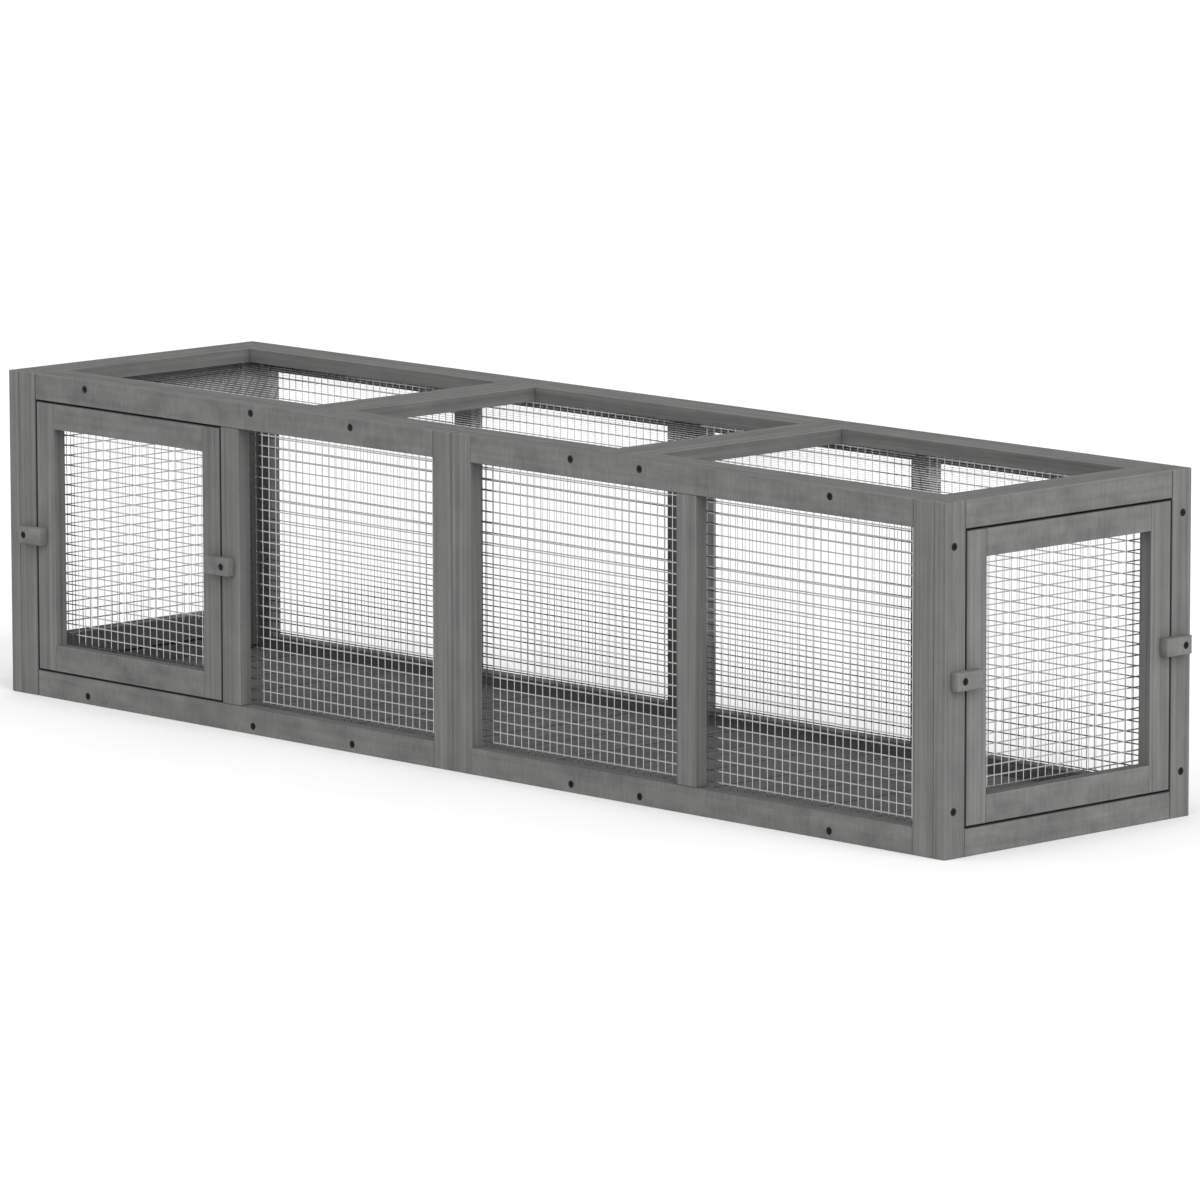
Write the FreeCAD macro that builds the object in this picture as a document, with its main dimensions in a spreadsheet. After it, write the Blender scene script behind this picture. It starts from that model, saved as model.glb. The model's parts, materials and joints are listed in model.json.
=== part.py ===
import FreeCAD, Part
import math
import os
import re

# Outdoor cat tunnel: a long box of framed mesh panels with three lift-out doors.
# X runs along the tunnel, the front wall faces -Y, +Z is up.
# The origin is the centre of the footprint on the ground. Millimetres.

Vector = FreeCAD.Vector
Rotation = FreeCAD.Rotation
Placement = FreeCAD.Placement

# Driving dimensions: alias, value, what it is
SIZES = [
    ("tunnel_length", 1600, "overall length of the frame"),
    ("tunnel_width", 400, "overall width of the frame"),
    ("tunnel_height", 400, "overall height"),
    ("wall_thickness", 18, "front and back walls' stock"),
    ("end_thickness", 18, "end frames' stock"),
    ("stile_width", 32, "face width of the walls' and ends' stiles"),
    ("rail_height", 32, "face height of the walls' and ends' rails"),
    ("door_gap", 2, "gap between a door and its opening"),
    ("door_seat_gap", 0.3, "gap between a door and the stops behind it"),
    ("door_stile_width", 32, "face width of a door's stiles"),
    ("door_rail_height", 32, "face height of a door's rails"),
    ("stop_width", 24, "width of a door stop"),
    ("stop_thickness", 12, "thickness of a door stop"),
    ("stop_reach", 10, "how far a stop stands behind the door's opening"),
    ("stop_lap", 13, "how far a stop runs past the opening, up and down"),
    ("roof_thickness", 18, "roof panels' stock"),
    ("roof_rail_width", 32, "face width of the roof panels' rails"),
    ("floor_thickness", 12, "floor panels' thickness"),
    ("floor_lift", 2, "floor panels' height above the ground"),
    ("plank_count", 6, "planks scored in one floor panel"),
    ("plank_groove_width", 3, "width of the groove between planks"),
    ("plank_groove_depth", 1.5, "depth of the groove between planks"),
    ("mesh_pitch", 25.4, "spacing of the modelled wires, every second one of the half-inch mesh"),
    ("mesh_wire", 1.2, "wire thickness"),
    ("mesh_lap", 16, "largest lap of a mesh sheet on its frame"),
    ("button_length", 43, "turn button's length"),
    ("button_width", 21, "turn button's width"),
    ("button_thickness", 12, "turn button's thickness"),
    ("button_round", 5.5, "round-over at the turn button's outer end"),
    ("button_ease", 2, "round-over at the turn button's door end"),
    ("button_gap", 0.3, "running gap under a turn button"),
    ("button_pivot_end", 11.5, "pivot from the turn button's outer end"),
    ("button_pivot_inset", 12, "pivot from the door opening's edge"),
    ("pivot_fit", 0.08, "radial clearance of a turn button on its screw"),
    ("pivot_tip_cover", 3, "wood left behind a pivot screw's tip"),
    ("screw_head_radius", 4, "screw head"),
    ("screw_head_depth", 2.4, "depth of the countersunk head"),
    ("screw_shank_radius", 1.8, "screw shank"),
    ("screw_bite", 22, "screw length in the second piece of wood"),
    ("screw_fit", 0.05, "radial clearance of a screw in its hole"),
    ("screw_hole_spare", 1, "hole depth past a screw's tip"),
    ("roof_screw_drop", 11, "roof screws below the top"),
    ("floor_screw_rise", 10, "floor screws above the ground"),
    ("left_screw_first", 125, "left roof panel's first screw from its left end"),
    ("left_screw_second", 92, "left roof panel's second screw from its right end"),
    ("middle_screw_first", 85, "middle roof panel's first screw from its left end"),
    ("middle_screw_second", 60, "middle roof panel's second screw from its right end"),
    ("right_screw_first", 54, "right roof panel's first screw from its left end"),
    ("right_screw_second", 162, "right roof panel's second screw from its right end"),
    ("end_screw_inset", 14, "end screws from the frame's side"),
    ("end_screw_top", 50, "upper end screws below the top"),
    ("end_screw_bottom", 53, "lower end screws above the ground"),
]

# Sizes that follow from the driving ones: alias, formula
LAYOUT = [
    ("inner_length", "tunnel_length - 2 * end_thickness"),
    ("inner_width", "tunnel_width - 2 * wall_thickness"),
    ("wall_panel_length", "inner_length / 2"),
    ("wall_rail_length", "wall_panel_length - 2 * stile_width"),
    ("bay_width", "(wall_rail_length - stile_width) / 2"),
    ("bay_height", "tunnel_height - 2 * rail_height"),
    ("end_opening_width", "tunnel_width - 2 * stile_width"),
    ("front_door_left", "stile_width - inner_length / 2"),
    ("front_door_middle", "front_door_left + bay_width / 2"),
    ("roof_panel_length", "inner_length / 3"),
    ("roof_side_rail_length", "roof_panel_length - 2 * roof_rail_width"),
    ("roof_opening_width", "inner_width - 2 * roof_rail_width"),
    ("roof_bottom", "tunnel_height - roof_thickness"),
    ("stop_height", "bay_height + 2 * stop_lap"),
    ("front_door_depth", "wall_thickness - door_seat_gap"),
    ("end_door_depth", "end_thickness - door_seat_gap"),
    ("door_height", "bay_height - 2 * door_gap"),
    ("front_door_width", "bay_width - 2 * door_gap"),
    ("end_door_width", "end_opening_width - 2 * door_gap"),
    ("wall_screw_length", "wall_thickness + screw_bite"),
    ("end_screw_length", "end_thickness + screw_bite"),
    ("wall_pivot_length", "button_gap + button_thickness + wall_thickness - pivot_tip_cover"),
    ("end_pivot_length", "button_gap + button_thickness + end_thickness - pivot_tip_cover"),
    ("button_top", "button_gap + button_thickness"),
]

doc = FreeCAD.newDocument("CatTunnel")
sizes = doc.addObject("Spreadsheet::Sheet", "Sizes")
for row, (alias, number, meaning) in enumerate(SIZES, 1):
    sizes.set(f"A{row}", meaning)
    sizes.set(f"B{row}", str(number))
    sizes.setAlias(f"B{row}", alias)
doc.recompute()

SHEET_OF = {alias: "Sizes" for alias, _, _ in SIZES}


def formula(text):
    """The same formula with each size's sheet in front of its name."""
    return re.sub(r"[a-z_]+", lambda word: f"{SHEET_OF[word.group()]}.{word.group()}", text)


layout = doc.addObject("Spreadsheet::Sheet", "Layout")
for row, (alias, text) in enumerate(LAYOUT, 1):
    layout.set(f"A{row}", alias)
    layout.set(f"B{row}", "=" + formula(text))
    layout.setAlias(f"B{row}", alias)
    SHEET_OF[alias] = "Layout"
doc.recompute()

nodes = []


def size(alias):
    """A size as a number, for shapes that are made in code."""
    return float((sizes if SHEET_OF[alias] == "Sizes" else layout).get(alias))


def bind(thing, **formulas):
    """Tie properties of an object to formulas over the sizes."""
    for name, text in formulas.items():
        thing.setExpression(name, formula(text))


def move_to(thing, x, y, z, turn=None):
    """Turn an object and tie its place to formulas."""
    if turn is not None:
        thing.Placement = Placement(Vector(), turn)
    for axis, text in zip("xyz", (x, y, z)):
        thing.setExpression(f"Placement.Base.{axis}", formula(text))


def as_node(thing, label):
    """Keep an object as a sub-part under its own name."""
    thing.Label = label
    nodes.append(thing)
    return thing


def board(name, low, extent):
    """A straight piece of wood: its low corner and its size along X, Y and Z."""
    thing = doc.addObject("Part::Box", name)
    bind(thing, Length=extent[0], Width=extent[1], Height=extent[2])
    move_to(thing, *low)
    return thing


def group(things, name):
    """Several separate solids as one object."""
    thing = doc.addObject("Part::Compound", name)
    thing.Links = things
    return thing


def drilled(wood, cutters):
    """A piece of wood with the screws' holes cut out of it."""
    thing = doc.addObject("Part::Cut", f"{wood.Name}_drilled")
    thing.Base = wood
    thing.Tool = cutters[0] if len(cutters) == 1 else group(cutters, f"{wood.Name}_holes")
    return thing


def countersunk(name, length, extra_radius, extra_length):
    """A shank along -Z under a countersunk head whose face is at Z = 0."""
    head = doc.addObject("Part::Cone", f"{name}_head")
    bind(head, Radius1=f"screw_shank_radius + {extra_radius}", Radius2=f"screw_head_radius + {extra_radius}",
         Height="screw_head_depth")
    move_to(head, "0", "0", "-screw_head_depth")
    shank = doc.addObject("Part::Cylinder", f"{name}_shank")
    bind(shank, Radius=f"screw_shank_radius + {extra_radius}",
         Height=f"{length} - screw_head_depth + {extra_length}")
    move_to(shank, "0", "0", f"-{length} - {extra_length}")
    whole = doc.addObject("Part::Fuse", name)
    whole.Base = head
    whole.Tool = shank
    return whole


def screw(name, length, place, outward):
    """A screw with its head's face at a place, and the cutter for its hole."""
    turn = Rotation(Vector(0, 0, 1), outward)
    metal = countersunk(name, length, "0", "0")
    hole = countersunk(f"{name}_hole", length, "screw_fit", "screw_hole_spare")
    for thing in (metal, hole):
        move_to(thing, *place, turn)
    return metal, hole


def mesh_sheet(opening_width, opening_height):
    """A welded mesh sheet about the origin in XY: one holed face, as thick as the wire along +Z."""
    pitch, wire, lap = size("mesh_pitch"), size("mesh_wire"), size("mesh_lap")
    across, up = (math.floor((opening + 2 * lap - wire) / pitch) for opening in (opening_width, opening_height))
    left, low = -across * pitch / 2, -up * pitch / 2

    def rectangle(x, y, width, height):
        return Part.makePolygon([Vector(x, y), Vector(x + width, y), Vector(x + width, y + height),
                                 Vector(x, y + height), Vector(x, y)])

    outline = rectangle(left - wire / 2, low - wire / 2, across * pitch + wire, up * pitch + wire)
    gaps = []
    for column in range(across):
        for line in range(up):
            gap = rectangle(left + column * pitch + wire / 2, low + line * pitch + wire / 2,
                            pitch - wire, pitch - wire)
            gap.reverse()
            gaps.append(gap)
    return Part.Face([outline, *gaps]).extrude(Vector(0, 0, wire))


def mesh_node(label, opening_width, opening_height, places):
    """A sub-part of equal mesh sheets, each put at one of the places."""
    thing = doc.addObject("Part::Feature", label)
    sheet = mesh_sheet(opening_width, opening_height)
    thing.Shape = Part.makeCompound([sheet.transformed(place.toMatrix()) for place in places])
    thing.Placement = Placement()
    return as_node(thing, label)


# Mesh sheets stand in XZ on the walls, in YZ on the ends, and lie in XY under the roof
WALL_TURN = Rotation(Vector(1, 0, 0), Vector(0, 0, 1), Vector(0, -1, 0), "ZXY")
END_TURN = Rotation(Vector(0, 1, 0), Vector(0, 0, 1), Vector(1, 0, 0), "ZXY")

FRONT, BACK = Vector(0, -1, 0), Vector(0, 1, 0)
LEFT, RIGHT = Vector(-1, 0, 0), Vector(1, 0, 0)
MIDDLE_HEIGHT = "tunnel_height / 2"

# Roof and floor screws: place along the tunnel, two per roof panel, three per wall panel
WALL_SCREW_PLACES = {
    "left": ["left_screw_first - inner_length / 2", "-roof_panel_length / 2 - left_screw_second",
             "middle_screw_first - roof_panel_length / 2"],
    "right": ["roof_panel_length / 2 - middle_screw_second", "roof_panel_length / 2 + right_screw_first",
              "inner_length / 2 - right_screw_second"],
}
# The roof panel that each of those screws reaches
WALL_SCREW_PANELS = {"left": ["left", "left", "middle"], "right": ["middle", "right", "right"]}

WALL_FACES = {"front": ("-tunnel_width / 2", FRONT), "back": ("tunnel_width / 2", BACK)}
WALL_LOW = {"front": "-tunnel_width / 2", "back": "tunnel_width / 2 - wall_thickness"}
END_LOW = {"left": "-tunnel_length / 2", "right": "tunnel_length / 2 - end_thickness"}
END_FACES = {"left": ("-tunnel_length / 2", LEFT), "right": ("tunnel_length / 2", RIGHT)}

# Screws through the walls into the roof's side rails and the floor panels
wall_screws = []
roof_holes = {(panel, side): [] for panel in ("left", "middle", "right") for side in WALL_FACES}
floor_holes = {panel: [] for panel in ("left", "middle", "right")}
rail_holes = {}
for side, (face, outward) in WALL_FACES.items():
    for half, places in WALL_SCREW_PLACES.items():
        for level, height in (("top", "tunnel_height - roof_screw_drop"), ("bottom", "floor_screw_rise")):
            for number, place in enumerate(places):
                name = f"{side}_{half}_{level}_screw_{number}"
                metal, hole = screw(name, "wall_screw_length", (place, face, height), outward)
                wall_screws.append(metal)
                rail_holes.setdefault((side, half, level), []).append(hole)
                panel = WALL_SCREW_PANELS[half][number]
                (roof_holes[panel, side] if level == "top" else floor_holes[panel]).append(hole)
as_node(group(wall_screws, "wall_screw_group"), "wall_screws")

# Screws through the end frames' stiles into the walls' end stiles
end_screws = []
corner_holes = {}
for end, (face, outward) in END_FACES.items():
    for side, inset in (("front", "end_screw_inset - tunnel_width / 2"),
                        ("back", "tunnel_width / 2 - end_screw_inset")):
        for level, height in (("top", "tunnel_height - end_screw_top"), ("bottom", "end_screw_bottom")):
            name = f"{end}_{side}_{level}_end_screw"
            metal, hole = screw(name, "end_screw_length", (face, inset, height), outward)
            end_screws.append(metal)
            corner_holes.setdefault((end, side), []).append(hole)
as_node(group(end_screws, "end_screw_group"), "end_screws")


# Turn buttons and their pivot screws
def turn_button(label, place, turn):
    """A block with rounded ends along local X, turning about local Z on its pivot screw."""
    block = doc.addObject("Part::Box", f"{label}_block")
    bind(block, Length="button_length", Width="button_width", Height="button_thickness")
    move_to(block, "-button_pivot_end", "-button_width / 2", "button_gap")
    doc.recompute()
    rounded = doc.addObject("Part::Fillet", f"{label}_rounded")
    rounded.Base = block
    box = block.Shape.BoundBox
    end_edges = []
    for number, edge in enumerate(block.Shape.Edges, 1):
        middle = edge.CenterOfMass
        if abs(middle.z - box.ZMax) < Part.Precision.confusion():
            for end, radius in ((box.XMin, size("button_round")), (box.XMax, size("button_ease"))):
                if abs(middle.x - end) < Part.Precision.confusion():
                    end_edges.append((number, radius, radius))
    rounded.Edges = end_edges
    bore = countersunk(f"{label}_bore", "button_thickness", "pivot_fit", "screw_hole_spare")
    move_to(bore, "0", "0", "button_top")
    whole = doc.addObject("Part::Cut", label)
    whole.Base = rounded
    whole.Tool = bore
    move_to(whole, *place, turn)
    return as_node(whole, label)


FRONT_PIVOT_Y = "-tunnel_width / 2"
PIVOT_BACK_Y = "end_opening_width / 2 + button_pivot_inset"
# Label, place of the pivot on the frame's face, outward normal, direction towards the door
BUTTONS = [
    ("front_door_button_left", ("front_door_left - button_pivot_inset", FRONT_PIVOT_Y), FRONT, RIGHT),
    ("front_door_button_right", ("front_door_left + bay_width + button_pivot_inset", FRONT_PIVOT_Y), FRONT, LEFT),
    ("left_door_button_front", ("-tunnel_length / 2", f"-({PIVOT_BACK_Y})"), LEFT, BACK),
    ("left_door_button_back", ("-tunnel_length / 2", PIVOT_BACK_Y), LEFT, FRONT),
    ("right_door_button_front", ("tunnel_length / 2", f"-({PIVOT_BACK_Y})"), RIGHT, BACK),
    ("right_door_button_back", ("tunnel_length / 2", PIVOT_BACK_Y), RIGHT, FRONT),
]
pivot_screws = []
pivot_holes = {}
for label, (x, y), outward, towards_door in BUTTONS:
    turn_button(label, (x, y, MIDDLE_HEIGHT), Rotation(towards_door, outward.cross(towards_door), outward, "ZXY"))
    length = "wall_pivot_length" if outward == FRONT else "end_pivot_length"
    head_x = f"{x} + {int(outward.x)} * button_top"
    head_y = f"{y} + {int(outward.y)} * button_top"
    metal, pivot_holes[label] = screw(f"{label}_screw", length, (head_x, head_y, MIDDLE_HEIGHT), outward)
    pivot_screws.append(metal)
as_node(group(pivot_screws, "pivot_screw_group"), "pivot_screws")

# Front and back walls, two panels each
for side in WALL_LOW:
    depth_low = WALL_LOW[side]
    for half, left_end in (("left", "-inner_length / 2"), ("right", "0")):
        panel = f"{side}_{half}_wall"
        stile = ("stile_width", "wall_thickness", "tunnel_height")
        outer = board(f"{panel}_left_stile", (left_end, depth_low, "0"), stile)
        inner = board(f"{panel}_right_stile", (f"{left_end} + wall_panel_length - stile_width", depth_low, "0"),
                      stile)
        if half == "left":
            holes = list(corner_holes["left", side])
            if side == "front":
                holes.append(pivot_holes["front_door_button_left"])
            outer = drilled(outer, holes)
        else:
            inner = drilled(inner, corner_holes["right", side])
        as_node(group([outer, inner], f"{panel}_stile_pair"), f"{panel}_stiles")
        mid = board(f"{panel}_mid", (f"{left_end} + stile_width + bay_width", depth_low, "rail_height"),
                    ("stile_width", "wall_thickness", "bay_height"))
        if panel == "front_left_wall":
            mid = drilled(mid, [pivot_holes["front_door_button_right"]])
        as_node(mid, f"{panel}_mid_stile")
        for level, low in (("top", "tunnel_height - rail_height"), ("bottom", "0")):
            rail = board(f"{panel}_{level}", (f"{left_end} + stile_width", depth_low, low),
                         ("wall_rail_length", "wall_thickness", "rail_height"))
            as_node(drilled(rail, rail_holes[side, half, level]), f"{panel}_{level}_rail")

# Mesh behind the walls' bays; the front wall's left bay is the door's
first_bay = size("stile_width") + size("bay_width") / 2
bay_step = size("bay_width") + size("stile_width")
wall_inner = size("inner_width") / 2
for side, mesh_y in (("front", size("mesh_wire") - wall_inner), ("back", wall_inner)):
    for half, left_end in (("left", -size("inner_length") / 2), ("right", 0)):
        bays = (1,) if (side, half) == ("front", "left") else (0, 1)
        places = [Placement(Vector(left_end + first_bay + bay * bay_step, mesh_y, size("tunnel_height") / 2),
                            WALL_TURN) for bay in bays]
        mesh_node(f"{side}_{half}_wall_mesh", size("bay_width"), size("bay_height"), places)

# End frames
for end, depth_low in END_LOW.items():
    stiles = []
    for side, low in (("front", "-tunnel_width / 2"), ("back", "tunnel_width / 2 - stile_width")):
        stile = board(f"{end}_end_{side}_stile", (depth_low, low, "0"),
                      ("end_thickness", "stile_width", "tunnel_height"))
        stiles.append(drilled(stile, corner_holes[end, side] + [pivot_holes[f"{end}_door_button_{side}"]]))
    as_node(group(stiles, f"{end}_end_stile_pair"), f"{end}_end_stiles")
    for level, low in (("top", "tunnel_height - rail_height"), ("bottom", "0")):
        rail = board(f"{end}_end_{level}", (depth_low, "-end_opening_width / 2", low),
                     ("end_thickness", "end_opening_width", "rail_height"))
        as_node(rail, f"{end}_end_{level}_rail")


# Doors: two full-height stiles, two rails between them, mesh on the inner face
def door(label, along_x, low, extent):
    """A door frame; along_x says whether its width runs along X or along Y."""
    width = extent[0] if along_x else extent[1]
    rail_width = f"{width} - 2 * door_stile_width"
    stiles = []
    for name, shift in (("first", "0"), ("second", f"{width} - door_stile_width")):
        x, y = (f"{low[0]} + {shift}", low[1]) if along_x else (low[0], f"{low[1]} + {shift}")
        section = ("door_stile_width", extent[1]) if along_x else (extent[0], "door_stile_width")
        stiles.append(board(f"{label}_{name}_stile", (x, y, low[2]), (*section, extent[2])))
    as_node(group(stiles, f"{label}_stile_pair"), f"{label}_stiles")
    rails = []
    for name, rise in (("bottom", "0"), ("top", f"{extent[2]} - door_rail_height")):
        x, y = (f"{low[0]} + door_stile_width", low[1]) if along_x else (low[0], f"{low[1]} + door_stile_width")
        section = (rail_width, extent[1]) if along_x else (extent[0], rail_width)
        rails.append(board(f"{label}_{name}_rail", (x, y, f"{low[2]} + {rise}"), (*section, "door_rail_height")))
    as_node(group(rails, f"{label}_rail_pair"), f"{label}_rails")


DOOR_FOOT = "rail_height + door_gap"
door_opening_height = size("door_height") - 2 * size("door_rail_height")
door("front_door", True, ("front_door_left + door_gap", "-tunnel_width / 2", DOOR_FOOT),
     ("front_door_width", "front_door_depth", "door_height"))
front_door_mesh_y = size("front_door_depth") + size("mesh_wire") - size("tunnel_width") / 2
mesh_node("front_door_mesh", size("front_door_width") - 2 * size("door_stile_width"), door_opening_height,
          [Placement(Vector(size("front_door_middle"), front_door_mesh_y, size("tunnel_height") / 2), WALL_TURN)])
for end, low in (("left", "-tunnel_length / 2"), ("right", "tunnel_length / 2 - end_door_depth")):
    door(f"{end}_door", False, (low, "-end_door_width / 2", DOOR_FOOT),
         ("end_door_depth", "end_door_width", "door_height"))
door_inner_x = size("tunnel_length") / 2 - size("end_door_depth")
for end, mesh_x in (("left", -door_inner_x), ("right", door_inner_x - size("mesh_wire"))):
    mesh_node(f"{end}_door_mesh", size("end_door_width") - 2 * size("door_stile_width"), door_opening_height,
              [Placement(Vector(mesh_x, 0, size("tunnel_height") / 2), END_TURN)])

# Door stops on the inner faces of the stiles beside each door's opening
STOP_FOOT = "rail_height - stop_lap"
front_stops = []
for name, low in (("left", "front_door_left + stop_reach - stop_width"),
                  ("right", "front_door_left + bay_width - stop_reach")):
    front_stops.append(board(f"front_door_{name}_stop", (low, "-inner_width / 2", STOP_FOOT),
                             ("stop_width", "stop_thickness", "stop_height")))
as_node(group(front_stops, "front_door_stop_pair"), "front_door_stops")
for end, depth_low in (("left", "-inner_length / 2"), ("right", "inner_length / 2 - stop_thickness")):
    stops = []
    for side, low in (("front", "stop_reach - end_opening_width / 2 - stop_width"),
                      ("back", "end_opening_width / 2 - stop_reach")):
        stops.append(board(f"{end}_door_{side}_stop", (depth_low, low, STOP_FOOT),
                           ("stop_thickness", "stop_width", "stop_height")))
    as_node(group(stops, f"{end}_door_stop_pair"), f"{end}_door_stops")

# Roof and floor panels, three of each between the walls
ROOF_MESH_Z = size("roof_bottom") - size("mesh_wire")
for number, panel in enumerate(("left", "middle", "right")):
    left_end = f"{number} * roof_panel_length - inner_length / 2"
    rail_left = f"{left_end} + roof_rail_width"
    side_rails = []
    for side, low in (("front", "-inner_width / 2"), ("back", "inner_width / 2 - roof_rail_width")):
        rail = board(f"roof_{panel}_{side}_rail", (rail_left, low, "roof_bottom"),
                     ("roof_side_rail_length", "roof_rail_width", "roof_thickness"))
        side_rails.append(drilled(rail, roof_holes[panel, side]))
    as_node(group(side_rails, f"roof_{panel}_side_rail_pair"), f"roof_{panel}_side_rails")
    end_rails = []
    for end, low in (("left", left_end), ("right", f"{left_end} + roof_panel_length - roof_rail_width")):
        end_rails.append(board(f"roof_{panel}_{end}_rail", (low, "-inner_width / 2", "roof_bottom"),
                               ("roof_rail_width", "inner_width", "roof_thickness")))
    as_node(group(end_rails, f"roof_{panel}_end_rail_pair"), f"roof_{panel}_end_rails")
    panel_middle = (number - 1) * size("roof_panel_length")
    mesh_node(f"roof_{panel}_mesh", size("roof_side_rail_length"), size("roof_opening_width"),
              [Placement(Vector(panel_middle, 0, ROOF_MESH_Z), Rotation())])

    sheet = board(f"floor_{panel}_sheet", (left_end, "-inner_width / 2", "floor_lift"),
                  ("roof_panel_length", "inner_width", "floor_thickness"))
    grooves = []
    for plank in range(1, round(size("plank_count"))):
        groove_left = f"{left_end} + {plank} * roof_panel_length / plank_count - plank_groove_width / 2"
        grooves.append(board(f"floor_{panel}_groove_{plank}",
                             (groove_left, "-inner_width / 2", "floor_lift + floor_thickness - plank_groove_depth"),
                             ("plank_groove_width", "inner_width", "plank_groove_depth")))
    as_node(drilled(sheet, grooves + floor_holes[panel]), f"floor_{panel}")

doc.recompute()

broken = [thing.Label for thing in doc.Objects if {"Invalid", "Error"} & set(thing.State)]
broken += [node.Label for node in nodes if node.Shape.isNull() or not node.Shape.isValid()]
if broken:
    raise RuntimeError("not built: " + ", ".join(broken))

os.makedirs("parts", exist_ok=True)
for node in nodes:
    node.Shape.exportStep(f"parts/{node.Label}.step")
print(f"{len(nodes)} sub-parts, {sum(len(node.Shape.Solids) for node in nodes)} solids")
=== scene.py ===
"""Looks of the outdoor cat tunnel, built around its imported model.

Grey-stained frames with eased edges, half-inch welded mesh held by staples, a planked floor,
turn buttons and black countersunk screws. Metres, in the model's own frame.
"""

import json
import logging
import math
import random
from collections.abc import Callable, Sequence
from dataclasses import dataclass, replace
from enum import Enum

import bmesh
import bpy
from mathutils import Matrix, Vector

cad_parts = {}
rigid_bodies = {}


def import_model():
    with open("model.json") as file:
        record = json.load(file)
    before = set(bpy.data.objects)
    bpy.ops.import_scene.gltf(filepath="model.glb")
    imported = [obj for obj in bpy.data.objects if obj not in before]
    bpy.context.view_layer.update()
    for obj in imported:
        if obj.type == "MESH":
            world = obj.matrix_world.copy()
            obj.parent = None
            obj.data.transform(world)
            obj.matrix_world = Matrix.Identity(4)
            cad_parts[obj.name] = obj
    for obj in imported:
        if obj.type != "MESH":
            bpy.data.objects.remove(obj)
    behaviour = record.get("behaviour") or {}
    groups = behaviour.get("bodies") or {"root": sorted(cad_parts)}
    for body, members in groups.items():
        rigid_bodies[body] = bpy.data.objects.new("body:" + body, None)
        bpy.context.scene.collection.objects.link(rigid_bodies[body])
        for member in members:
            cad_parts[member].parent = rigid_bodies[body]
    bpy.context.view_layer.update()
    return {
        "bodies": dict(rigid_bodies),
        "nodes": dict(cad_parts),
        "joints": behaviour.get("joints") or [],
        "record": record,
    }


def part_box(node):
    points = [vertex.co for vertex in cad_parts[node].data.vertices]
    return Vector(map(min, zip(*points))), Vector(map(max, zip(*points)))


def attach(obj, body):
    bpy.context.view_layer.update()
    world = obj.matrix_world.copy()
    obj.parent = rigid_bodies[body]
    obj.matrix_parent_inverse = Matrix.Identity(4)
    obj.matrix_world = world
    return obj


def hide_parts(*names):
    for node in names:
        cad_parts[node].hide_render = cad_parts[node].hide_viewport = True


LOG = logging.getLogger("cat_tunnel")

Piece = bpy.types.Object
Colour = tuple[float, float, float]

# Attributes that boards and wires carry for their finishes. The tone is each board's own tone
# times its faces' painted shade and highlight, and each wire layer's painted light
GRAIN, TONE_AND_PAINTED_LIGHT, PLANED = "grain", "tone", "planed"
# The middle of a noise, and of a mix of two colours
MIDDLE = 0.5
# A colour Mix node's sockets, by number
MIX_SHARE, MIX_FIRST, MIX_SECOND, MIX_RESULT = 0, 6, 7, 2
# A point this near to a place counts as on it
TOUCH = 1e-6
# From this share of an axis on, a face's normal leans that way, or points squarely that way
LEANING, SQUARE = 0.5, 0.9
# An eased edge's profile and its steps
ROUND, EASE_STEPS = 0.5, 2
# The width of the frames' boards, and the length of the screws through them
BOARD_WIDTH, SCREW_LENGTH = 0.032, 0.04


class Axis(Enum):
    """A direction of the model's frame, by its place in a vector."""

    X = 0
    Y = 1
    Z = 2

    @property
    def way(self) -> Vector:
        """The unit vector along the axis."""
        return Vector(Matrix.Identity(3)[self.value])


AXES = range(len(Axis))


class Slot(Enum):
    """The record's material slots."""

    WOOD = "grey_wood"
    FLOOR = "floor_board"
    WIRE = "mesh_wire"
    SCREW = "black_screw"


class Side(Enum):
    """The tunnel's long walls."""

    FRONT = "front"
    BACK = "back"


class Hand(Enum):
    """The two halves or ends of the tunnel, seen from the front."""

    LEFT = "left"
    RIGHT = "right"


@dataclass(frozen=True)
class Box:
    """A straight-sided space between a low and a high corner."""

    low: Vector
    high: Vector

    @classmethod
    def of_node(cls, node: str) -> "Box":
        """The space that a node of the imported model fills."""
        return cls(*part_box(node))

    @property
    def size(self) -> Vector:
        """Length along each axis."""
        return self.high - self.low

    @property
    def centre(self) -> Vector:
        """Middle of the space."""
        return (self.high + self.low) / 2

    def slices(self, axis: Axis, count: int) -> "list[Box]":
        """Equal slices of the space.

        Args:
            axis: the direction that is divided.
            count: how many slices.

        Returns:
            The slices, from the low end to the high end.
        """
        step = self.size[axis.value] / count
        found = []
        for number in range(count):
            low, high = self.low.copy(), self.high.copy()
            low[axis.value] = self.low[axis.value] + number * step
            high[axis.value] = low[axis.value] + step
            found.append(Box(low, high))
        return found

    def ends(self, axis: Axis, width: float) -> "list[Box]":
        """The two ends of the space.

        Args:
            axis: the direction that they lie in.
            width: how far each reaches into the space.

        Returns:
            The low end and the high end.
        """
        low_end, high_end = self.high.copy(), self.low.copy()
        low_end[axis.value] = self.low[axis.value] + width
        high_end[axis.value] = self.high[axis.value] - width
        return [Box(self.low, low_end), Box(high_end, self.high)]

    def near(self, other: "Box", spare: float) -> bool:
        """Whether another space is close to this one.

        Args:
            other: the other space.
            spare: how far it may be off along each axis.

        Returns:
            True if it is no farther off along any axis.
        """
        return all(
            low - spare <= other_high and other_low <= high + spare
            for low, high, other_low, other_high in zip(self.low, self.high, other.low, other.high)
        )

    def holds(self, point: Vector, spare: float) -> bool:
        """Whether a point lies in the space or within a distance of it."""
        ranges = zip(self.low, point, self.high)
        return all(low - spare <= place <= high + spare for low, place, high in ranges)


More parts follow.
